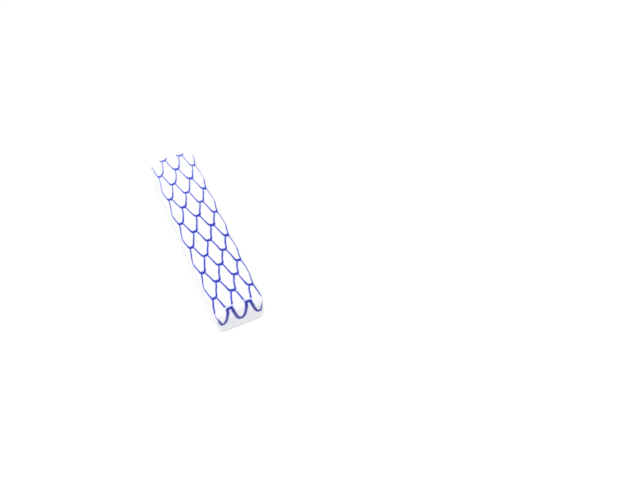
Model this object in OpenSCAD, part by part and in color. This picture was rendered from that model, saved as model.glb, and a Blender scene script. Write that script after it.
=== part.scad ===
// Porcelain chopstick rest: a small loaf-shaped bar with a gentle saddle, a clear glaze over
// its top and sides, and a net of cobalt brush lines in the glaze.
// +X runs along the bar, +Y across it and +Z up. The origin is under the middle of the foot.

/* [Bar] */
// Overall length
rest_l = 70; // [56:1:90]
// Overall width
rest_w = 16.2; // [14:0.2:20]
// Height of the crown at the waist
waist_h = 10; // [8:0.2:13]
// How much higher the ends stand than the waist
end_rise = 1.4; // [0.8:0.1:2.4]
// Length of the level lip at each end of the saddle
lip_l = 1; // [0.8:0.1:1.2]
// Radius of the crown across the bar
crown_r = 21; // [16:1:40]
// Radius of the shoulders, the end edges and the upright corners
edge_r = 2.2; // [1.6:0.1:3]

/* [Foot] */
// Width of the rim that the bar stands on
rim_w = 2.6; // [2:0.1:3.5]
// Depth of the recess inside the rim
recess_h = 1.6; // [1:0.1:2.5]
// Corner radius of the recess
recess_r = 1.8; // [1:0.1:2.5]
// Height of bare clay below the glaze
bare_h = 0.7; // [0.3:0.1:1]

/* [Glaze] */
// Thickness of the glaze
glaze_t = 0.25; // [0.2:0.05:0.4]

/* [Net] */
// Depth of the brush lines in the glaze
line_t = 0.15; // [0.1:0.01:0.18]
// Pitch of the knots across the bar
mesh_w = 6.2; // [5:0.1:8]
// Pitch of the rows of knots along the bar
mesh_l = 5.57; // [4.5:0.01:7.5]
// Width of a brush line on top of the bar
line_w = 0.55; // [0.4:0.05:0.6]
// Width of a brush line on the end walls
wall_line_w = 0.75; // [0.4:0.05:0.8]
// Length of a knot across the bar
knot_w = 1.8; // [1.4:0.1:2.2]
// Width of a knot along the bar
knot_l = 0.8; // [0.6:0.05:1]
// How far the first row of knots lies in from the near end
first_in = 1; // [0.6:0.1:1.4]
// How far the last meshes hang down the end walls
hang_l = 7; // [6:0.1:8]

/* [Hidden] */
$fn = 64;
clay = "#e9e2d8";
glaze = "#f7f8fb";
cobalt = "#2b33a6";

// Number of segments in the long saddle arc
saddle_fn = 720;
// Overrun of each cut past the solid that it trims
over = 1;
// Overlap of the net's parts where the top passes into an end wall
lap = 0.1;

// The bar's core: the edge radius rolls round this smaller block
core_l = rest_l / 2 - edge_r;
core_w = rest_w / 2 - edge_r;
end_h = waist_h + end_rise;
// The saddle arc meets the level crown a little short of the core's end
saddle_x = core_l - lip_l;
saddle_r = (pow(saddle_x, 2) + pow(end_rise, 2)) / (2 * end_rise);
// Angle at which the crown passes into a shoulder, and the shoulder centre's depth below the crown
crown_a = asin(core_w / (crown_r - edge_r));
core_drop = crown_r - (crown_r - edge_r) * cos(crown_a);

// Lengths over the surface, from the centre line: crown, then shoulder, then wall
deg = 180 / PI;
crown_s = crown_r * crown_a / deg;
shoulder_s = edge_r * (90 - crown_a) / deg;
// The net is seen from above up to the middle of each rounded end edge, and from the end past it.
// Where it passes round an upright corner, it is seen from the side up to the middle of the corner.
split = edge_r * sin(45);
split_x = core_l + split;
split_y = core_w + split;
split_u = core_l + edge_r * 45 / deg;
split_s = crown_s + edge_r * (45 - crown_a) / deg;

// Net rows, counted from the near end, and half-pitch columns, counted from the centre line
first_u = rest_l / 2 - first_in;
last_row = 2 * floor((rest_l - 2 * first_in) / mesh_l / 2);
half_w = mesh_w / 2;
// The border lines turn back part of the way down the shoulder
turn_share = 0.48;
turn_s = crown_s + turn_share * shoulder_s;
last_col = round(turn_s / half_w);
// How far below the edges the border lines pass round the upright corners
corner_share = 0.4;
corner_past = edge_r * (corner_share - 1 + cos(45));
// A mesh line leaves the end of its knot
arm_off = (knot_w - line_w) / 2;
// Half a mesh from its lowest point to its knot: shares of its width and of its length
mesh_shares = [[0, 0], [0.37, 0.03], [0.45, 0.09], [0.52, 0.23], [1, 1]];
scallop_shares = [[0, 0], [0.2, 0.03], [0.4, 0.14], [0.68, 0.45], [1, 1]];
knot_steps = 3;

// Height of the crown at a place along the bar
function crown_z(x) = abs(x) < saddle_x ? waist_h + saddle_r - sqrt(pow(saddle_r, 2) - pow(x, 2)) : end_h;
// Place along the bar for a length u over the top, and the depth of the end wall there
function roll_a(u) = min(90, max(0, abs(u) - core_l) / edge_r * deg);
function along_x(u) = sign(u) * (min(abs(u), core_l) + edge_r * sin(roll_a(u)));
function along_drop(u) = edge_r * (1 - cos(roll_a(u))) + max(0, abs(u) - core_l - edge_r * 90 / deg);
// Place across the bar for a length s over the crown, and the depth below the crown there
function turn_a(s) = min(90, crown_a + (abs(s) - crown_s) / edge_r * deg);
function across_y(s) = sign(s) * (abs(s) < crown_s ? crown_r * sin(abs(s) / crown_r * deg)
    : core_w + edge_r * sin(turn_a(s)));
function across_drop(s) = abs(s) < crown_s ? crown_r * (1 - cos(s / crown_r * deg))
    : core_drop - edge_r * cos(turn_a(s)) + max(0, abs(s) - crown_s - shoulder_s);
// A surface point seen from above, from the end or from the side
function plan(p) = [along_x(p.x), across_y(p.y)];
function face(p) = [across_y(p.y), end_h - along_drop(p.x) - across_drop(p.y)];
function side(p) = [along_x(p.x), crown_z(along_x(p.x)) - along_drop(p.x) - across_drop(p.y)];
function seen(p, view) = view == "above" ? plan(p) : view == "end" ? face(p) : side(p);

// Wedge under the crown, from the middle of its circle. It ends below the shoulder centres.
module crown_wedge() {
    low = -core_drop - edge_r;
    low_w = (crown_r + low) * tan(crown_a);
    top_w = (crown_r + edge_r) * tan(crown_a);
    polygon([[-low_w, low], [low_w, low], [top_w, edge_r], [-top_w, edge_r]]);
}
// Cross section down from the crown: crown circle, shoulder circles, straight walls.
// Inset moves every face inwards by the same amount.
module section(inset, depth) {
    intersection() {
        translate([0, -crown_r]) circle(crown_r - inset);
        crown_wedge();
    }
    for (s = [-1, 1]) translate([s * core_w, -core_drop]) circle(edge_r - inset);
    translate([inset - rest_w / 2, -depth]) square([rest_w - 2 * inset, depth - core_drop]);
}

// Rounded end of the level bar: a disc with a rounded rim under the crown, and two upright corners
module end_cap(inset) {
    r = edge_r - inset;
    wall_h = end_h - core_drop;
    intersection() {
        translate([0, 0, -crown_r]) rotate([0, 90, 0]) rotate_extrude() {
            square([crown_r - edge_r, r]);
            intersection() {
                translate([crown_r - edge_r, 0]) circle(r);
                square([crown_r, r]);
            }
        }
        rotate([90, 0, 90]) linear_extrude(edge_r) crown_wedge();
    }
    for (s = [0, 1]) mirror([0, s, 0]) translate([0, core_w, -core_drop]) rotate_extrude(angle = 90) {
        intersection() {
            circle(r);
            square(r);
        }
        translate([0, -wall_h]) square([r, wall_h]);
    }
    translate([0, -core_w, -end_h]) cube([r, 2 * core_w, wall_h]);
}

// The whole outer form, or the same form moved inwards: a level bar, dished by the saddle arc
module loaf(inset) {
    intersection() {
        translate([0, 0, end_h]) {
            translate([-core_l, 0, 0]) rotate([90, 0, 90]) linear_extrude(2 * core_l) section(inset, end_h);
            for (e = [0, 1]) mirror([e, 0, 0]) translate([core_l, 0, 0]) end_cap(inset);
        }
        translate([0, 0, waist_h + saddle_r]) rotate([90, 0, 0]) rotate_extrude($fn = saddle_fn)
            translate([saddle_r, 0]) rotate(90) section(inset, end_h + edge_r);
    }
}

// Rounded rectangle, smaller than the recess by the inset
module recess_plan(inset) {
    l = rest_l - 2 * (rim_w + inset);
    w = rest_w - 2 * (rim_w + inset);
    r = recess_r - inset;
    for (x = [-1, 1]) for (y = [-1, 1]) translate([x * (l / 2 - r), y * (w / 2 - r)]) circle(r);
    square([l - 2 * r, w], center = true);
    square([l, w - 2 * r], center = true);
}

// Knots and lines in lengths over the surface: x along the bar, y across it
function row_u(r) = r < 0 ? first_u + hang_l : r > last_row ? first_u - last_row * mesh_l - hang_l
    : first_u - r * mesh_l;
function cols(r) = [for (c = [1 - last_col:last_col - 1]) if ((c + last_col + r) % 2 == 0) c];
function knot_at(r, c) = [row_u(r), c * half_w];
// Place beside a knot where a line from its row's other side arrives
function knot_end(r, c, s) = knot_at(r, c) + [0, s * arm_off];
// Where a border line turns back, and where one passes an upright corner, seen from the end or the side
function turn_at(r, s) = [max(-core_l, min(core_l, row_u(r))), s * turn_s];
function end_corner(e, s) = [e * (core_l + edge_r * 90 / deg + corner_past), s * split_s];
function side_corner(e) = [e * split_u, crown_s + shoulder_s + corner_past];
// Top of the line that rises from a mesh's low point to the next row, on side s
function arm_top(r, c, s) = abs(c + s) < last_col ? knot_end(r + 1, c + s, -s) : turn_at(r + 1, s);
// Line from a low point to its top by a table of shares, and the same line ended at length u
function rise(low, top, shares) = [for (h = shares) low + [h.y * (top - low).x, h.x * (top - low).y]];
function at_u(p, q, u) = p + (q - p) * (u - p.x) / (q.x - p.x);
function ended(line, u) = let (n = len(line) - 1)
    [for (k = [0:n]) k < n ? line[k] : at_u(line[n - 1], line[n], u)];
function reversed(line) = [for (k = [len(line) - 1:-1:1]) line[k]];

// Brush line through the given points, with its width measured over the surface
module ribbon(line, w, view) {
    last = len(line) - 1;
    half = [for (k = [0:last]) let (d = line[min(k + 1, last)] - line[max(k - 1, 0)])
        [-d.y, d.x] / norm(d) * w / 2];
    polygon([for (k = [0:last]) seen(line[k] + half[k], view),
        for (k = [last:-1:0]) seen(line[k] - half[k], view)]);
}
// Darker spot where the brush lines meet
module knot(p, view) {
    off = (knot_w - knot_l) / 2;
    polygon([for (s = [-1, 1]) for (k = [0:knot_steps]) let (a = 180 * k / knot_steps)
        seen(p + s * [-knot_l / 2 * cos(a), off + knot_l / 2 * sin(a)], view)]);
}

// One rising line of the top net. Past a turn it goes on to the next knot, and it stops on an end edge.
function top_arm(r, c, s) = let (line = rise(knot_at(r, c), arm_top(r, c, s), mesh_shares))
    r == last_row ? ended(line, -rest_l / 2)
    : abs(c + s) < last_col || r + 1 == last_row ? line
    : concat(line, [knot_end(r + 2, c, s)]);
// The net as seen from above
module top_net() {
    for (r = [0:last_row]) for (c = cols(r)) {
        ribbon(concat(reversed(top_arm(r, c, -1)), top_arm(r, c, 1)), line_w, "above");
        knot(knot_at(r, c), "above");
    }
    for (c = cols(-1)) for (s = [-1, 1]) if (abs(c + s) < last_col) {
        top = arm_top(-1, c, s);
        ribbon([top, at_u(top, hang_at(-1, c), rest_l / 2)], line_w, "above");
    }
    for (s = [-1, 1]) ribbon([knot_end(1, s * (last_col - 1), s), turn_at(0, s)], line_w, "above");
}
// The border lines from their first and last turns to the upright corners
module side_net() {
    for (e = [-1, 1]) {
        turn = turn_at(e < 0 ? last_row : 0, 1);
        ribbon([at_u(turn, side_corner(e), turn.x - e * line_w / 2), at_u(turn, side_corner(e), e * rest_l / 2)],
            line_w, "side");
    }
}
// Lowest point of a mesh on an end wall, level with its neighbours
function hang_at(r, c) = knot_at(r, c) - [sign(row_u(r)) * across_drop(c * half_w), 0];
// The scallops that hang down the near end wall
function near_arm(c, s) = let (top = abs(c + s) < last_col ? arm_top(-1, c, s) : end_corner(1, s))
    ended(rise(hang_at(-1, c), top, scallop_shares), core_l);
module near_net() {
    for (c = cols(-1)) ribbon(concat(reversed(near_arm(c, -1)), near_arm(c, 1)), wall_line_w, "end");
}
// The first lines of the net, on the far end wall
module far_net() {
    for (c = cols(last_row)) for (s = [-1, 1]) {
        top = hang_at(last_row + 1, c + s) - [0, s * arm_off];
        ribbon([at_u(knot_end(last_row, c, s), top, -core_l), top], wall_line_w, "end");
    }
    for (s = [-1, 1]) {
        top = hang_at(last_row + 1, s * (last_col - 1)) + [0, s * arm_off];
        ribbon([at_u(end_corner(-1, s), top, -core_l), top], wall_line_w, "end");
    }
    for (c = cols(last_row + 1)) knot(hang_at(last_row + 1, c), "end");
}

// All brush lines as straight-sided cutters, each seen square to its own part of the surface
module brush_cutters() {
    translate([0, 0, waist_h - core_drop]) linear_extrude(end_h) intersection() {
        top_net();
        square([2 * split_x, rest_w], center = true);
    }
    for (s = [0, 1]) mirror([0, s, 0]) translate([0, split_y + edge_r, 0]) rotate([90, 0, 0])
        linear_extrude(edge_r + lap) side_net();
    translate([split_x - lap, 0, 0]) rotate([90, 0, 90]) linear_extrude(edge_r) near_net();
    translate([lap - split_x - edge_r, 0, 0]) rotate([90, 0, 90]) linear_extrude(edge_r) far_net();
}
// The same lines, each as deep as its groove in the glaze
module brush_grooves() {
    difference() {
        brush_cutters();
        loaf(line_t);
    }
}

module porcelain_body() {
    color(clay) difference() {
        loaf(glaze_t);
        translate([0, 0, -over]) linear_extrude(over + recess_h) recess_plan(0);
    }
}
module glaze_coat() {
    color(glaze) difference() {
        loaf(0);
        loaf(glaze_t);
        translate([-rest_l, -rest_w, -over]) cube([2 * rest_l, 2 * rest_w, over + bare_h]);
        brush_grooves();
    }
}
module recess_glaze() {
    color(glaze) translate([0, 0, bare_h]) difference() {
        linear_extrude(recess_h - bare_h) recess_plan(0);
        translate([0, 0, -over]) linear_extrude(over + recess_h - bare_h - glaze_t) recess_plan(glaze_t);
    }
}
module cobalt_net() {
    color(cobalt) intersection() {
        loaf(0);
        brush_grooves();
    }
}

porcelain_body();
glaze_coat();
recess_glaze();
cobalt_net();
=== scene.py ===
# %% [markdown]
# A porcelain chopstick rest, about as long as a finger. It is pressed in a mould, fired once, painted
# with a net of cobalt blue, dipped in clear glaze and fired again. All its shapes come from the packed
# model. What is left for Blender is what makes porcelain look like porcelain: the gloss, the tint of
# the glaze, the brushed blue in it and the bare clay of the foot.

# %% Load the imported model
import math
import bmesh
import bpy
import numpy as np
from mathutils import Matrix, Vector


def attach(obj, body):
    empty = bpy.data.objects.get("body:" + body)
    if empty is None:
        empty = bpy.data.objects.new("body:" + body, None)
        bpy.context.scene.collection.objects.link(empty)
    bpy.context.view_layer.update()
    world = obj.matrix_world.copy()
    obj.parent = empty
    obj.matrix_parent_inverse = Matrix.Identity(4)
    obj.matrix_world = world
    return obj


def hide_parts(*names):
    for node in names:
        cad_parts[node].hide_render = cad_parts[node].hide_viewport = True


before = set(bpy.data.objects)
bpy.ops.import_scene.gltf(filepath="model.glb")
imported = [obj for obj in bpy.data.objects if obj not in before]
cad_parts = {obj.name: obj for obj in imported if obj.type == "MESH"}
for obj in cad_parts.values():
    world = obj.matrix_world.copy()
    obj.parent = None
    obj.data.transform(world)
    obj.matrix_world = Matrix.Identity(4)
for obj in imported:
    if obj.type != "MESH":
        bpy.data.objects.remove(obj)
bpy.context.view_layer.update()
MM = 0.001
print("nodes:", sorted(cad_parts))

# %% [markdown]
# The camera comes first, because everything is judged through it. It stands above the near end of
# the rest and looks down at about 53 degrees, with a lens of 42 mm, so the bar runs up and away to
# the left of the middle.

# %% Camera
AZIMUTH = 24.787      # from +X towards -Y
ELEVATION = 53.489
ROLL = 0.282
LENS_MM, SENSOR_MM = 42.19, 36
CAMERA_AT = Vector((155.21, -28.40, 209.26)) * MM

az, el, roll = (math.radians(a) for a in (AZIMUTH, ELEVATION, ROLL))
back = Vector((math.cos(az) * math.cos(el), -math.sin(az) * math.cos(el), math.sin(el)))
right = Vector((0, 0, 1)).cross(back).normalized()
up = back.cross(right)
right, up = (right * math.cos(roll) + up * math.sin(roll),
             up * math.cos(roll) - right * math.sin(roll))
turn = Matrix((right, up, back)).transposed().to_4x4()

camera_data = bpy.data.cameras.new("camera")
camera = bpy.data.objects.new("camera", camera_data)
bpy.context.scene.collection.objects.link(camera)
camera.matrix_world = Matrix.Translation(CAMERA_AT) @ turn
camera_data.sensor_width = SENSOR_MM
camera_data.lens = LENS_MM
camera_data.clip_start = 0.01
bpy.context.scene.camera = camera
print("camera at", [round(c, 4) for c in camera.location])

# %% [markdown]
# Every material needs the same few helpers. One turns a colour from the sRGB hex value that a colour
# picker shows into the linear numbers that Blender's shaders need. Another adds a node, sets it up
# and links its inputs in one line, so that a material reads from top to bottom. The last one starts a
# material with no nodes in it.

# %% Helpers for materials
def linear(hex_colour):
    parts = [int(hex_colour[i:i + 2], 16) / 255 for i in (1, 3, 5)]
    return (*[p / 12.92 if p <= 0.04045 else ((p + 0.055) / 1.055) ** 2.4 for p in parts], 1)


def add(tree, kind, settings=(), **links):
    """Adds a node. A setting goes to the node itself if it has one of that name, else to an input.
    A link comes from a socket, or from a node's first output. The inputs are i0, i1 and so on, or
    go by their names."""
    node = tree.nodes.new("ShaderNode" + kind)
    for name, value in dict(settings).items():
        if isinstance(name, str) and hasattr(node, name):
            setattr(node, name, value)
        else:
            node.inputs[name].default_value = value
    for name, source in links.items():
        key = int(name[1:]) if name[0] == "i" and name[1:].isdigit() else name.replace("_", " ")
        socket = source.outputs[0] if hasattr(source, "outputs") else source
        tree.links.new(socket, node.inputs[key])
    return node


def new_material(name):
    material = bpy.data.materials.new(name)
    material.use_nodes = True
    material.node_tree.nodes.clear()
    return material, material.node_tree


print("the grey #808080 is", [round(c, 3) for c in linear("#808080")], "to a shader")

# %% [markdown]
# The table is plain and pale. A white table that is lit like the object would come out grey, and more
# light on it would bleach the porcelain too. So the rays that look at it, which the Light Path node
# tells apart, see it mostly by its own white light. The rest is real shading, matt like paper, and
# keeps the soft shadow under the bar.

# %% Table
TABLE_SIZE = 6.0
TABLE_OWN_LIGHT = 0.75
TABLE_WHITE = "#fafafa"


def background_rays(tree):
    """1 for rays that see the background itself: from the camera, in a gloss or through glass."""
    path = add(tree, "LightPath")
    rays = add(tree, "Math", {"operation": "MAXIMUM"}, i0=path.outputs["Is Camera Ray"],
               i1=path.outputs["Is Glossy Ray"])
    return add(tree, "Math", {"operation": "MAXIMUM"}, i0=rays,
               i1=path.outputs["Is Transmission Ray"])


bpy.ops.mesh.primitive_plane_add(size=TABLE_SIZE, location=(0, 0, 0))
table = bpy.context.active_object
table.name = "table"
material, tree = new_material("white_table_paper")
share = add(tree, "Math", {"operation": "MULTIPLY", 1: TABLE_OWN_LIGHT}, i0=background_rays(tree))
paper = add(tree, "BsdfDiffuse", {"Color": linear(TABLE_WHITE)})
glow = add(tree, "Emission", {"Color": linear("#ffffff"), "Strength": 1.0})
mix = add(tree, "MixShader", Fac=share, i1=paper, i2=glow)
add(tree, "OutputMaterial", Surface=mix)
table.data.materials.append(material)
print("table:", TABLE_SIZE, "m wide")

# %% [markdown]
# The light is a white tent, a little dimmer on one side, so that the near end of the bar turns a
# shade greyer than its top. Gloss needs something to mirror: a long narrow lamp hangs above, and
# draws the thin bright line where the top of the bar rolls over into its end. A wide soft box fills
# in from the left.

# %% World and lamps
TENT_LIGHT = 0.75
TENT_DIM = 0.68
TENT_WHITE = "#fcfbff"
DIM_SIDE = (0.93, -0.30, 0.2)     # direction from the bar to the middle of the tent's dimmer side
DIM_FROM, DIM_TO = 0.1, 0.9       # the light falls between these cosines of the angle from it
SMOOTH = {"interpolation_type": "SMOOTHSTEP"}

world = bpy.data.worlds.new("studio")
bpy.context.scene.world = world
world.use_nodes = True
tree = world.node_tree
tree.nodes.clear()
direction = add(tree, "TexCoord").outputs["Generated"]
ahead = add(tree, "VectorMath", {"operation": "DOT_PRODUCT", 1: DIM_SIDE}, i0=direction)
strength = add(tree, "MapRange", {"From Min": DIM_FROM, "From Max": DIM_TO, "To Min": TENT_LIGHT,
                                  "To Max": TENT_DIM, **SMOOTH}, Value=ahead.outputs["Value"])
tent = add(tree, "Background", {"Color": linear(TENT_WHITE)}, Strength=strength)
white = add(tree, "Background", {"Color": linear("#ffffff"), "Strength": 1.0})
mix = add(tree, "MixShader", Fac=background_rays(tree), i1=tent, i2=white)
add(tree, "OutputWorld", Surface=mix)


def lamp(name, place, long_side, size, power):
    """Rectangular lamp that points at the object, with its longer side along a direction."""
    data = bpy.data.lights.new(name, "AREA")
    data.shape = "RECTANGLE"
    data.size, data.size_y = size
    data.energy = power
    holder = bpy.data.objects.new(name, data)
    bpy.context.scene.collection.objects.link(holder)
    z_axis = Vector(place).normalized()
    y_axis = z_axis.cross(Vector(long_side)).normalized()
    turn = Matrix((y_axis.cross(z_axis), y_axis, z_axis)).transposed().to_4x4()
    holder.matrix_world = Matrix.Translation(place) @ turn
    print(name, "gives", power, "W")


lamp("strip_above", place=(0.09, 0.07, 0.70), long_side=(-0.46, 0.74, 0), size=(0.70, 0.08),
     power=2.1)
lamp("soft_box_left", place=(-0.15, -0.50, 0.45), long_side=(1, 0, 0), size=(0.40, 0.30),
     power=0.8)
bpy.context.scene.view_settings.view_transform = "Standard"

# %% [markdown]
# The net is the skilled part of this rest: rows of meshes that hang from each other like the scales
# of a fish. Paint on a surface is a matter of colour, but its lines still have to go where the brush
# went. An image would blur up close, so the net is laid out here once more, as strokes with a width
# at each point, in lengths measured over the surface: u along the bar and s across it. First come
# the form of the bar and the grid of the net, with the numbers of the model.

# %% The bar and the grid of its net, in mm
CORE_L, CORE_W = 32.8, 5.9        # half of the block that the edges roll round
CROWN_R, EDGE_R = 21.0, 2.2
WAIST_H, END_RISE, SADDLE_X = 10.0, 1.4, 31.8
TOP_H = WAIST_H + END_RISE
CROWN_A = math.asin(CORE_W / (CROWN_R - EDGE_R))
CROWN_S = CROWN_R * CROWN_A
SHOULDER_S = EDGE_R * (math.pi / 2 - CROWN_A)
CORE_DROP = CROWN_R - (CROWN_R - EDGE_R) * math.cos(CROWN_A)

FIRST_U = 34.0                    # the row that lies on the near edge
MESH_L, HALF_MESH = 5.57, 3.1
LAST_ROW, LAST_COL = 12, 3
HANG_L = 7.0                      # from the last knots of the top to the low points on a wall
KNOT_REACH = 0.65                 # half of a knot; the arms from the row below reach its ends
TURN_SHARE = 0.48                 # how far down the shoulder the border turns back
CORNER_SHARE = 0.4                # and how far below the edges it passes the upright corners
TURN_S = CROWN_S + TURN_SHARE * SHOULDER_S
CORNER_PAST = EDGE_R * (CORNER_SHARE - 1 + math.cos(math.pi / 4))


def crown_drop(s):
    """How far the crown has sunk at a length s across the bar."""
    return CROWN_R * (1 - math.cos(min(abs(s), CROWN_S) / CROWN_R))


def row_u(row):
    """Where a row's low points are along the bar. Row -1 hangs on the near wall."""
    if row < 0:
        return FIRST_U + HANG_L
    return FIRST_U - min(row, LAST_ROW) * MESH_L - (HANG_L if row > LAST_ROW else 0)


def columns(row):
    """The columns of a row's low points. Every second row is shifted by half a mesh."""
    return [c for c in range(1 - LAST_COL, LAST_COL) if (c + LAST_COL + row) % 2 == 0]


def low_point(row, col):
    """Lowest point of a mesh. On the end walls it is level with its neighbours."""
    u, s = row_u(row), col * HALF_MESH
    if row < 0 or row > LAST_ROW:
        u -= math.copysign(crown_drop(s), u)
    return np.array((u, s))


def knot_end(row, col, side):
    """One end of the knot at a low point, where an arm arrives."""
    return low_point(row, col) + (0, side * KNOT_REACH)


def turn_point(row, side):
    """Where the border of the net turns back, halfway down the shoulder."""
    return np.array((max(-CORE_L, min(CORE_L, row_u(row))), side * TURN_S))


def end_corner(end, side):
    """Where the border passes the middle of an upright corner, as seen from the end."""
    return np.array((end * (CORE_L + EDGE_R * math.pi / 2 + CORNER_PAST),
                     side * (CROWN_S + EDGE_R * (math.pi / 4 - CROWN_A))))


def side_corner(end, side):
    """The same point as seen from the side."""
    return np.array((end * (CORE_L + EDGE_R * math.pi / 4),
                     side * (CROWN_S + SHOULDER_S + CORNER_PAST)))


print("net:", sum(len(columns(row)) for row in range(LAST_ROW + 1)), "low points on top")

# %% [markdown]
# Each mesh is drawn as the brush draws it, from its low point up one arm and then up the other. The
# brush is pressed down at the knots, so that the paint is wide there, and lifted on the way. An arm
# is given by how far it has gone sideways and upwards at a few points, and its corners are cut.

# %% The strokes on top
MESH_SHARES = [(0, 0), (0.34, 0.03), (0.5, 0.13), (0.58, 0.27), (0.9, 0.8), (1, 1)]
THIN, LINE, NECK, KNOT, BLOT = 0.40, 0.46, 0.64, 0.84, 0.95    # widths in mm
KNOT_BAR = 0.75                   # share of a knot's length that is painted at full width
BLOT_STEP = (0.12, 0.1)           # a blot lies aslant in the middle of each knot
NEAR_BORDER = (0.6, 0.72)         # the border widens towards the near edge
CUT = 0.3                         # share of a piece of a stroke that is cut off at each corner


def arm(low, top, shares):
    """Points of a line from a low point to its top, by shares of its width and its length."""
    return [low + (part * (top - low)[0], wide * (top - low)[1]) for wide, part in shares]


def stroke(path, widths):
    """Points u, s with the width of the paint at each."""
    return [(*p, w) for p, w in zip(path, widths)]


def rounded(points):
    """The same stroke with its corners cut, as a brush turns."""
    points = [np.array(p, float) for p in points]
    cuts = [keep * a + take * b for a, b in zip(points, points[1:])
            for keep, take in ((1 - CUT, CUT), (CUT, 1 - CUT))]
    return [points[0], *cuts, points[-1]]


def knot(row, col):
    """The short bar of paint where the brush is pressed down."""
    return stroke([knot_end(row, col, -KNOT_BAR), knot_end(row, col, KNOT_BAR)], (KNOT, KNOT))


def mesh_arm(row, col, side):
    """One arm of a mesh. At the border it turns on the shoulder and goes on to the knot above."""
    inner = abs(col + side) < LAST_COL
    hung = inner or row == LAST_ROW
    top = knot_end(row + 1, col + side, -side) if hung else turn_point(row + 1, side)
    path = arm(low_point(row, col), top, MESH_SHARES)
    widths = [KNOT, KNOT, NECK, LINE, LINE, LINE if inner else THIN]
    if not inner and row + 1 < LAST_ROW:
        path.append(knot_end(row + 2, col, side))
        widths.append(LINE)
    return rounded(stroke(path, widths))


net_strokes = []
for row in range(LAST_ROW + 1):
    for col in columns(row):
        low = low_point(row, col)
        net_strokes += [knot(row, col), stroke([low + BLOT_STEP, low - BLOT_STEP], (BLOT, BLOT))]
        net_strokes += [mesh_arm(row, col, side) for side in (-1, 1)]
for side in (-1, 1):
    border = [knot_end(1, side * (LAST_COL - 1), side), turn_point(0, side)]
    net_strokes.append(stroke(border, NEAR_BORDER))
print("strokes on top:", len(net_strokes))

# %% [markdown]
# On the near wall the last row hangs as scallops, and the wet paint ran down and stayed wide. At the
# far end the meshes close in small knots. The border comes down the shoulder, passes round the
# upright corners and ends in the outer scallops or knots. A corner is unrolled in two halves, one
# with the end and one with the side, so the border is laid out for both.

# %% The strokes on the walls and round the corners
SCALLOP_SHARES = [(0, 0), (0.2, 0.02), (0.42, 0.12), (0.55, 0.25), (0.7, 0.45), (1, 1)]
WALL_WIDTHS = [1.10, 1.05, 0.95, 0.82, 0.82]    # up from the low point of a scallop
FAR_BORDER, CORNER = 0.5, 0.6
CORNER_STEP = np.array((0.9, 0.35))             # down the wall and inwards from a corner
BEYOND = 0.5                                    # a side stroke goes on this much past its corner


def from_corner(end, side):
    """The corner and the next point of the border on the end wall."""
    corner = end_corner(end, side)
    return [corner, corner + CORNER_STEP * (end, -side)]


def scallop_arm(col, side):
    """One arm of a scallop, to a knot on the near edge or to an upright corner."""
    low = low_point(-1, col)
    if abs(col + side) < LAST_COL:
        path = arm(low, knot_end(0, col + side, -side), SCALLOP_SHARES)
        return rounded(stroke(path, WALL_WIDTHS + [KNOT]))
    corner, step = from_corner(1, side)
    path = arm(low, step, SCALLOP_SHARES) + [corner]
    return rounded(stroke(path, WALL_WIDTHS + [CORNER, CORNER]))


net_strokes += [scallop_arm(col, side) for col in columns(-1) for side in (-1, 1)]
net_strokes += [knot(LAST_ROW + 1, col) for col in columns(LAST_ROW + 1)]
side_strokes = []
for side in (-1, 1):
    last = knot_end(LAST_ROW + 1, side * (LAST_COL - 1), side)
    net_strokes.append(rounded(stroke([*from_corner(-1, side), last], (FAR_BORDER, LINE, LINE))))
    for end, row, width in ((-1, LAST_ROW, FAR_BORDER), (1, 0, NEAR_BORDER[1])):
        turned, corner = turn_point(row, side), side_corner(end, side)
        path = [turned, corner, (1 + BEYOND) * corner - BEYOND * turned]
        side_strokes.append(stroke(path, (width, CORNER, CORNER)))
print("strokes:", len(net_strokes), "on top and walls,", len(side_strokes), "round the corners")

# %% [markdown]
# A shader can't know how far a point is from the nearest stroke, so that distance is worked out in
# mesh code and stored on the vertices. A distance can be spread over a triangle and stays right, where
# a colour would lose its sharp edge. The shader turns it into dark middles, pale edges and the faint
# blue breath that cobalt leaves in the glaze beside it. A point is first unrolled to u and s: over
# the crown and the shoulder, and from there down the wall that it is on.

# %% From a point of the surface to u and s
CORNER_HALF = EDGE_R * math.sin(math.pi / 4)     # a corner's middle, out from the block


def crown_z(x):
    """Height of the top along its middle, which is slightly saddled."""
    return WAIST_H + END_RISE * np.minimum(1, np.abs(x) / SADDLE_X) ** 2


def length_rolled(out):
    """Length over a rounded edge for a distance out from its centre line."""
    return EDGE_R * np.arcsin(np.clip(out / EDGE_R, 0, 1))


def length_dropped(drop):
    """Length over a rounded edge and down the wall below it for a depth below the edge's top."""
    return EDGE_R * np.arccos(np.clip(1 - drop / EDGE_R, 0, 1)) + np.maximum(0, drop - EDGE_R)


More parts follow.
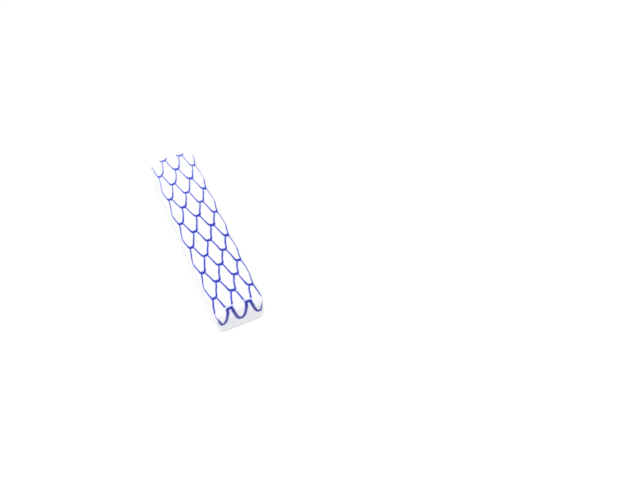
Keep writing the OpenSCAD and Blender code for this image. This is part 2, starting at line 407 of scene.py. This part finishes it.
def unrolled(place):
    """u and s of points in metres, and which of them are on the side's half of an upright corner."""
    x, y, z = (place / MM).T.astype(float)
    out_x, out_y = np.abs(x) - CORE_L, np.abs(y) - CORE_W
    on_end = out_x > CORNER_HALF
    on_corner = (out_x > 0) & (out_y > CORNER_HALF)

    # Across the bar: over the crown and the shoulder, and down the side.
    turned = np.maximum(CROWN_A, np.arcsin(np.clip(out_y / EDGE_R, 0, 1)))
    on_crown = np.abs(y) < CROWN_R * math.sin(CROWN_A)
    s = np.where(on_crown, CROWN_R * np.arcsin(np.clip(np.abs(y) / CROWN_R, 0, 1)),
                 CROWN_S + EDGE_R * (turned - CROWN_A))
    sunk = np.where(on_crown, CROWN_R - np.sqrt(CROWN_R ** 2 - y ** 2),
                    CORE_DROP - EDGE_R * np.cos(turned))
    below = np.maximum(0, crown_z(x) - CORE_DROP - z)

    # Along the bar: over the end's edge, and down the end wall.
    u = np.minimum(np.abs(x), CORE_L) + length_rolled(out_x)
    u = np.where(on_end, CORE_L + length_dropped(TOP_H - sunk - z), u)

    # The side's half of an upright corner goes down like the side, from an edge that rolls over.
    rolled = EDGE_R - np.sqrt(np.maximum(0, EDGE_R ** 2 - np.clip(out_x, 0, EDGE_R) ** 2))
    depth = TOP_H - rolled - z
    s_side = CROWN_S + EDGE_R * (np.arccos(np.clip((CORE_DROP - depth) / EDGE_R, 0, 1)) - CROWN_A)
    s = np.where(on_corner, s_side + np.maximum(0, depth - CORE_DROP), s + np.where(on_end, 0, below))
    return np.copysign(u, x), np.copysign(s, y), on_corner


top_middle = np.array([(0.0, 0.0, WAIST_H * MM)])
print("the middle of the top is at u, s =", [float(c[0]) for c in unrolled(top_middle)[:2]])

# %% [markdown]
# The distance to a stroke is that to its line, less half its width there. On top the brush strays a
# little, in long waves that carry whole meshes along, so that no two are quite alike. There are no
# short waves, which would make each line tremble, as a steady hand doesn't.

# %% Distance from the nearest stroke
HAND_SWAY = 0.16          # how far the brush strays sideways, in mm
SWAY_U, SWAY_S = (0.8, 0.6), (0.6, -0.9)    # its waves along the bar and across, in radians per mm
STROKE_MARGIN = 2.0       # a stroke matters only to points this near, in mm
FAR_AWAY = 99.0


def nearest(u, s, strokes):
    """Distance in mm from the edge of the nearest stroke, negative inside it."""
    best = np.full(len(u), FAR_AWAY)
    for points in strokes:
        ends = [p[0] for p in points]
        close = np.flatnonzero((u > min(ends) - STROKE_MARGIN) & (u < max(ends) + STROKE_MARGIN))
        for (u0, s0, w0), (u1, s1, w1) in zip(points, points[1:]):
            du, ds = u1 - u0, s1 - s0
            along = np.clip(((u[close] - u0) * du + (s[close] - s0) * ds) / (du * du + ds * ds), 0, 1)
            away = np.hypot(u[close] - u0 - along * du, s[close] - s0 - along * ds)
            best[close] = np.minimum(best[close], away - (w0 + along * (w1 - w0)) / 2)
    return best


def line_distance(place):
    """Distance in mm from the painted lines, for points of the surface in metres."""
    u, s, on_corner = unrolled(place)
    sway = HAND_SWAY * np.clip((CORE_L - np.abs(u)) / HALF_MESH, 0, 1)
    u, s = (u + sway * np.sin(SWAY_U[0] * u + SWAY_U[1] * s),
            s + sway * np.sin(SWAY_S[0] * u + SWAY_S[1] * s))
    distance = nearest(u, s, net_strokes)
    around = nearest(u[on_corner], s[on_corner], side_strokes)
    distance[on_corner] = np.minimum(distance[on_corner], around)
    return distance


print("from the middle of the top to a line:", line_distance(top_middle).round(2), "mm")

# %% [markdown]
# The glaze and the net come as large flat triangles, and a number on a vertex can only be as sharp as
# the mesh is fine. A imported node's own mesh is never changed, so both are copied, and the copies take
# their places. They come as loose triangles, which are merged first, so that a cut through an edge
# cuts the faces on both sides of it. The outside faces are marked, because only they are painted.

# %% Copies of the glaze and the net
MERGE_MM = 0.001
OUTSIDE = 0.92            # how closely an outside face's normal follows the outward direction


def only(piece):
    """Selects one piece, because an operator acts on all that is selected."""
    bpy.ops.object.select_all(action="DESELECT")
    piece.select_set(True)
    bpy.context.view_layer.objects.active = piece


def merged_copy(node, name):
    """A copy of a node with its doubles merged, which takes the node's place."""
    piece = bpy.data.objects.new(name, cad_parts[node].data.copy())
    bpy.context.scene.collection.objects.link(piece)
    only(piece)
    bpy.ops.object.mode_set(mode="EDIT")
    bpy.ops.mesh.select_all(action="SELECT")
    bpy.ops.mesh.remove_doubles(threshold=MERGE_MM * MM)
    bpy.ops.object.mode_set(mode="OBJECT")
    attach(piece, "root")
    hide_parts(node)
    print(name, "stands for", node, "with", len(piece.data.vertices), "vertices")
    return piece


def outward(point):
    """Direction out of the bar at a point, from the block that its edges are rounded about."""
    x, y, z = point / MM
    core_x = max(-CORE_L, min(CORE_L, x))
    core_y = max(-CORE_W, min(CORE_W, y))
    core_z = crown_z(core_x) - CROWN_R + math.sqrt((CROWN_R - EDGE_R) ** 2 - core_y ** 2)
    return Vector((x - core_x, y - core_y, max(0.0, z - core_z))).normalized()


def mark_outside(piece):
    """Marks the vertices of the outside faces. A cut between two marked vertices is marked as well."""
    mark = piece.data.attributes.new("outside", "FLOAT", "POINT")
    mesh = bmesh.new()
    mesh.from_mesh(piece.data)
    for face in mesh.faces:
        if face.normal.dot(outward(face.calc_center_median())) > OUTSIDE:
            for vertex in face.verts:
                mark.data[vertex.index].value = 1.0
    mesh.free()


glaze = merged_copy("glaze_coat", "clear_glaze")
net = merged_copy("cobalt_net", "painted_net")
for piece in (glaze, net):
    mark_outside(piece)

# %% [markdown]
# A Subdivision Surface modifier would cut everything alike, and a line's edge would take millions of
# faces. Instead, each round selects the edges that are longer than their way to the nearest line,
# subdivides them once and makes triangles of what comes out. The shape stays as it was, and the mesh
# is fine only along the brush strokes. Then the finished distance goes onto the vertices, and the
# mark of the outside comes off.

# %% Cut finer along the strokes
FINEST = 0.28 * MM        # a little more than half of a line's width
COARSER = 1.2             # growth of the mesh size with the distance from a line
MARKED = 0.99             # a cut's mark is a mean of two marks, so it may be a little under 1
MAX_ROUNDS = 9
SMOOTH_ANGLE = math.radians(30)


def values(collection, name, size=1):
    """One attribute of all vertices or edges as an array."""
    array = np.empty(len(collection) * size, np.float32)
    collection.foreach_get(name, array)
    return array.reshape(-1, size) if size > 1 else array


def long_edges(mesh):
    """Which outside edges are too long for how near they are to a line."""
    place = values(mesh.vertices, "co", 3)
    outside = values(mesh.attributes["outside"].data, "value") > MARKED
    ends = values(mesh.edges, "vertices", 2).astype(int)
    a, b = place[ends[:, 0]], place[ends[:, 1]]
    length = np.linalg.norm(b - a, axis=1)
    checked = np.flatnonzero((length > FINEST) & outside[ends].all(axis=1))
    away = np.abs(line_distance((a[checked] + b[checked]) / 2)) * MM
    chosen = np.zeros(len(ends), bool)
    chosen[checked[length[checked] > COARSER * away]] = True
    return chosen


def cut_edges(piece, chosen):
    """Cuts the chosen edges in half and makes triangles of the faces."""
    bpy.ops.object.mode_set(mode="EDIT")
    bpy.ops.mesh.select_mode(type="EDGE")
    bpy.ops.mesh.select_all(action="DESELECT")
    bpy.ops.object.mode_set(mode="OBJECT")
    piece.data.edges.foreach_set("select", chosen)
    bpy.ops.object.mode_set(mode="EDIT")
    bpy.ops.mesh.subdivide(number_cuts=1, ngon=False)
    bpy.ops.mesh.select_all(action="SELECT")
    bpy.ops.mesh.quads_convert_to_tris(quad_method="SHORTEST_DIAGONAL", ngon_method="BEAUTY")
    bpy.ops.object.mode_set(mode="OBJECT")


for piece in (glaze, net):
    only(piece)
    for _ in range(MAX_ROUNDS):
        chosen = long_edges(piece.data)
        if not chosen.any():
            break
        cut_edges(piece, chosen)
    bpy.ops.object.shade_smooth_by_angle(angle=SMOOTH_ANGLE)
    mesh = piece.data
    mesh.attributes.remove(mesh.attributes["outside"])
    line_mm = mesh.attributes.new("line_mm", "FLOAT", "POINT")
    distance = line_distance(values(mesh.vertices, "co", 3))
    line_mm.data.foreach_set("value", distance.astype(np.float32))
    print(piece.name, "has", len(mesh.polygons), "faces")

# %% [markdown]
# Cobalt blue is painted on the clay with a fine brush and melts into the glaze over it. To colour
# only the net's own solid would give flat lines with hard edges, as if cut from paper. The eye sees
# wet brushwork: nearly navy at the knots, where the brush paused, and on the near wall, where the
# paint ran down and painted shade darkens it too; paler at the borders and towards the far end.
# Where the top rolls over into the near end, a painted highlight breaks the lines. All of it is
# drawn from the stored distance, in mm, and from the place on the bar, which Object coordinates
# give in metres.

# %% Cobalt in the glaze
COBALT_NAVY = "#0a1986"
COBALT_DEEP = "#1124b4"
COBALT_WASH = "#5565d0"
BLEED_BLUE = "#98a4ea"
HAND_MM, WOBBLE_MM = 1.6, 0.14    # a line's edge wavers over this length, by this much
FLOW_MM = 3.0                     # length over which the paint is thicker or thinner

# Distances from a stroke's edge, negative inside it, in mm: where each starts and where it is full.
LINE_AT = (0.07, -0.05)
DEEP_AT = (0.04, -0.14)
KNOT_AT = (-0.24, -0.4)
BLEED_AT = (0.5, 0.0)

# Places on the bar in mm.
FAR_END, FAR_SHRINK_FROM, PALE_FROM = -36.0, 0.0, -8.0    # lines shrink and grow pale towards the far end
FAR_SHRINK_MM = 0.13                                      # how much they shrink there, on each side
BORDER_FROM, BORDER_TO = 6.2, 7.8                  # and grow paler across the borders
# The lines break in a painted highlight where the top rolls over into the near end.
GLINT_FROM, GLINT_TO, GLINT_BLUR = 33.2, 33.8, 0.15      # they break here
# Down the near wall the navy is partly paint that ran down and partly painted shade.
WALL_FROM, WALL_TO = 33.7, 34.3                    # and are navy from here down the near wall
PRODUCT = {"operation": "MULTIPLY", "use_clamp": True}


def cobalt(tree, place, split, glaze_colour):
    """Colour of the painted surface, from the distance that the vertices carry."""
    x = split.outputs["X"]
    distance = add(tree, "Attribute", {"attribute_name": "line_mm"}).outputs["Fac"]
    hand = add(tree, "TexNoise", {"Scale": 1 / (HAND_MM * MM), "Detail": 2}, Vector=place)
    waver = add(tree, "Math", {"operation": "MULTIPLY_ADD", 1: WOBBLE_MM, 2: -WOBBLE_MM / 2}, i0=hand)
    edge = add(tree, "Math", {"operation": "ADD"}, i0=distance, i1=waver)
    far_shrink = add(tree, "MapRange", {"From Min": FAR_END * MM, "From Max": FAR_SHRINK_FROM * MM,
                                 "To Min": FAR_SHRINK_MM, "To Max": 0.0}, Value=x)
    edge = add(tree, "Math", {"operation": "ADD"}, i0=edge, i1=far_shrink)

    # Deep blue in the middle of a line, washed out at its edges, at the borders and at the far end.
    full = add(tree, "MapRange", {"From Min": DEEP_AT[0], "From Max": DEEP_AT[1], **SMOOTH},
               Value=edge)
    flow = add(tree, "TexNoise", {"Scale": 1 / (FLOW_MM * MM), "Detail": 4, "Roughness": 0.6},
               Vector=place)
    flow = add(tree, "MapRange", {"From Min": 0.3, "From Max": 0.7, "To Min": 0.75, "To Max": 1.1},
               Value=flow)
    along = add(tree, "MapRange", {"From Min": FAR_END * MM, "From Max": PALE_FROM * MM,
                                   "To Min": 0.4}, Value=x)
    aside = add(tree, "Math", {"operation": "ABSOLUTE"}, i0=split.outputs["Y"])
    aside = add(tree, "MapRange", {"From Min": BORDER_FROM * MM, "From Max": BORDER_TO * MM,
                                   "To Min": 1.0, "To Max": 0.75}, Value=aside)
    for part in (flow, along, aside):
        full = add(tree, "Math", PRODUCT, i0=full, i1=part)
    blue = add(tree, "Mix", {"data_type": "RGBA", 6: linear(COBALT_WASH), 7: linear(COBALT_DEEP)},
               i0=full)

    # Navy at the knots, where the brush paused, and on the near wall: paint that ran down, and painted
    # shade.
    knots = add(tree, "MapRange", {"From Min": KNOT_AT[0], "From Max": KNOT_AT[1], "To Max": 0.5,
                                   **SMOOTH}, Value=edge)
    wall = add(tree, "MapRange", {"From Min": WALL_FROM * MM, "From Max": WALL_TO * MM,
                                  "To Max": 0.85, **SMOOTH}, Value=x)
    paused_and_shaded = add(tree, "Math", {"operation": "MAXIMUM"}, i0=knots, i1=wall)
    blue = add(tree, "Mix", {"data_type": "RGBA", 7: linear(COBALT_NAVY)}, i0=paused_and_shaded,
               i6=blue.outputs[2])

    # Over the near edge a painted highlight breaks the lines, and the glaze shows there.
    before = add(tree, "MapRange", {"From Min": GLINT_FROM * MM, "From Max": (GLINT_FROM + GLINT_BLUR) * MM,
                                    **SMOOTH}, Value=x)
    after = add(tree, "MapRange", {"From Min": GLINT_TO * MM, "From Max": (GLINT_TO - GLINT_BLUR) * MM,
                                   **SMOOTH}, Value=x)
    painted_glint = add(tree, "Math", PRODUCT, i0=before, i1=after)
    kept = add(tree, "Math", {"operation": "MULTIPLY_ADD", 1: -0.9, 2: 1.0}, i0=painted_glint)
    line = add(tree, "MapRange", {"From Min": LINE_AT[0], "From Max": LINE_AT[1], **SMOOTH},
               Value=edge)
    line = add(tree, "Math", PRODUCT, i0=line, i1=kept)

    # A breath of blue beside each line, nearly twice as strong on the near wall.
    beside = add(tree, "MapRange", {"From Min": BLEED_AT[0], "From Max": BLEED_AT[1],
                                    "To Max": 0.45, **SMOOTH}, Value=edge)
    more = add(tree, "Math", {"operation": "ADD", 1: 1.0}, i0=wall)
    beside = add(tree, "Math", PRODUCT, i0=beside, i1=more)
    breath = add(tree, "Mix", {"data_type": "RGBA", 7: linear(BLEED_BLUE)}, i0=beside, i6=glaze_colour)
    drawn = add(tree, "Mix", {"data_type": "RGBA"}, i0=line, i6=breath.outputs[2], i7=blue.outputs[2])
    return drawn.outputs[2]


print("lines break from", GLINT_FROM, "to", GLINT_TO, "mm along the bar")

# %% [markdown]
# Porcelain glaze is a clear glass, a quarter of a millimetre thick, over white clay. The eye sees a
# hard gloss and reflections that are not quite straight, because dipping leaves long shallow ripples.
# Low on the walls a very faint grey of painted shade comes in. A shell of real glass over the clay
# would look much the same at this thickness and take far longer to render. So one shader does both:
# the near-white of the clay seen through the glaze, and the gloss of glass, IOR 1.5, over it. It is
# nearly as smooth as glass, with soft patches that are a little less so.

# %% Glazed porcelain
GLAZE_WHITE = "#f8f9fa"
# The second colour is the grey of painted shade on the lower walls.
GLAZE_SHADE_GREY = "#e6e4ea"
CLOUD_MM = 9.0                    # size of the soft patches in the glaze's tint and gloss
RIPPLE_MM, RIPPLE_H = 5.0, 0.05   # length and height of a ripple
SHADE_FROM, SHADE_TO = 8.0, 5.0     # the tint comes in from here down to here, in mm above the table
FOOT_FROM, FOOT_TO = 1.2, 2.6     # and none near the foot, which light from the table brightens


def glazed_porcelain(name, painted):
    material, tree = new_material(name)
    place = add(tree, "TexCoord").outputs["Object"]
    split = add(tree, "SeparateXYZ", Vector=place)
    height = split.outputs["Z"]
    cloud = add(tree, "TexNoise", {"Scale": 1 / (CLOUD_MM * MM), "Detail": 3}, Vector=place)
    # Painted shade: a faint grey comes in low on the walls and fades out again near the foot. A random
    # cloud adds to it.
    low = add(tree, "MapRange", {"From Min": SHADE_FROM * MM, "From Max": SHADE_TO * MM,
                                 "To Max": 0.6, **SMOOTH}, Value=height)
    foot = add(tree, "MapRange", {"From Min": FOOT_FROM * MM, "From Max": FOOT_TO * MM, **SMOOTH},
               Value=height)
    shade_and_cloud = add(tree, "Math", PRODUCT, i0=low, i1=foot)
    shade_and_cloud = add(tree, "Math", {"operation": "MULTIPLY_ADD", 1: 0.3}, i0=cloud, i2=shade_and_cloud)
    glass = add(tree, "Mix", {"data_type": "RGBA", 6: linear(GLAZE_WHITE), 7: linear(GLAZE_SHADE_GREY)},
                i0=shade_and_cloud)
    colour = cobalt(tree, place, split, glass.outputs[2]) if painted else glass.outputs[2]
    ripple = add(tree, "TexNoise", {"Scale": 1 / (RIPPLE_MM * MM), "Detail": 1}, Vector=place)
    bump = add(tree, "Bump", {"Strength": 0.25, "Distance": RIPPLE_H * MM}, Height=ripple)
    gloss = add(tree, "MapRange", {"From Min": 0.3, "From Max": 0.7, "To Min": 0.07, "To Max": 0.13},
                Value=cloud)
    shader = add(tree, "BsdfPrincipled", {"IOR": 1.5}, Base_Color=colour, Roughness=gloss, Normal=bump)
    add(tree, "OutputMaterial", Surface=shader)
    print(name, "has", len(tree.nodes), "nodes")
    return material


painted = glazed_porcelain("cobalt_painted_glazed_porcelain", painted=True)
unpainted = glazed_porcelain("glazed_porcelain", painted=False)

# %% [markdown]
# The foot is wiped clean of glaze, so that the bar does not stick to the kiln shelf. Bare porcelain
# is dry and slightly cream. The eye sees a matt, faintly sandy line under the glossy wall, with rubbed
# grey patches, and a grey rim at the very bottom that is painted shade where it meets the table. The
# real grain is finer than a tenth of a millimetre, too fine to show, so it is drawn a quarter of a
# millimetre coarse.

# %% Bare clay
CLAY_CREAM = "#fffcf5"
# The second colour serves both the rubbed patches and the painted shade along the bottom rim.
CLAY_RUBBED_AND_SHADED = "#c8bead"
GRAIN_MM, GRAIN_H = 0.25, 0.03    # length and height of the grain
RUB_MM = 4.0                      # size of a rubbed patch
CONTACT_SHADE_FROM, CONTACT_SHADE_TO = 0.45, 0.3      # the rim's grey comes in from here down to here


def bare_clay(name):
    material, tree = new_material(name)
    place = add(tree, "TexCoord").outputs["Object"]
    height = add(tree, "SeparateXYZ", Vector=place).outputs["Z"]
    grain = add(tree, "TexNoise", {"Scale": 1 / (GRAIN_MM * MM), "Detail": 2}, Vector=place)
    rub = add(tree, "TexNoise", {"Scale": 1 / (RUB_MM * MM), "Detail": 3}, Vector=place)
    rub = add(tree, "MapRange", {"From Min": 0.5, "From Max": 0.75, "To Max": 0.4, **SMOOTH},
              Value=rub)
    # Painted shade: the lowest half millimetre of the foot turns grey where it meets the table.
    contact_shade = add(tree, "MapRange", {"From Min": CONTACT_SHADE_FROM * MM, "From Max": CONTACT_SHADE_TO * MM, **SMOOTH},
              Value=height)
    wear_and_shade = add(tree, "Math", {"operation": "MAXIMUM"}, i0=rub, i1=contact_shade)
    tint = add(tree, "Mix", {"data_type": "RGBA", 6: linear(CLAY_CREAM), 7: linear(CLAY_RUBBED_AND_SHADED)},
               i0=wear_and_shade)
    bump = add(tree, "Bump", {"Strength": 0.4, "Distance": GRAIN_H * MM}, Height=grain)
    rough = add(tree, "MapRange", {"From Min": 0.3, "From Max": 0.7, "To Min": 0.66, "To Max": 0.8},
                Value=grain)
    shader = add(tree, "BsdfPrincipled", Base_Color=tint.outputs[2], Roughness=rough, Normal=bump)
    add(tree, "OutputMaterial", Surface=shader)
    print(name, "has", len(tree.nodes), "nodes")
    return material


clay = bare_clay("bare_porcelain_clay")

# %% [markdown]
# The glaze and the net share one material, because they are one surface: the lines lie flush in the
# glaze, and a line's pale edge may fall on either. The recess under the foot has the same glaze with
# no paint, and the clay body shows only at the foot.

# %% Dress the pieces
finishes = {
    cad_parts["porcelain_body"]: clay,
    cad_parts["recess_glaze"]: unpainted,
    glaze: painted,
    net: painted,
}
for piece, finish in finishes.items():
    piece.data.materials.clear()
    piece.data.materials.append(finish)
    print(piece.name, "is", finish.name)
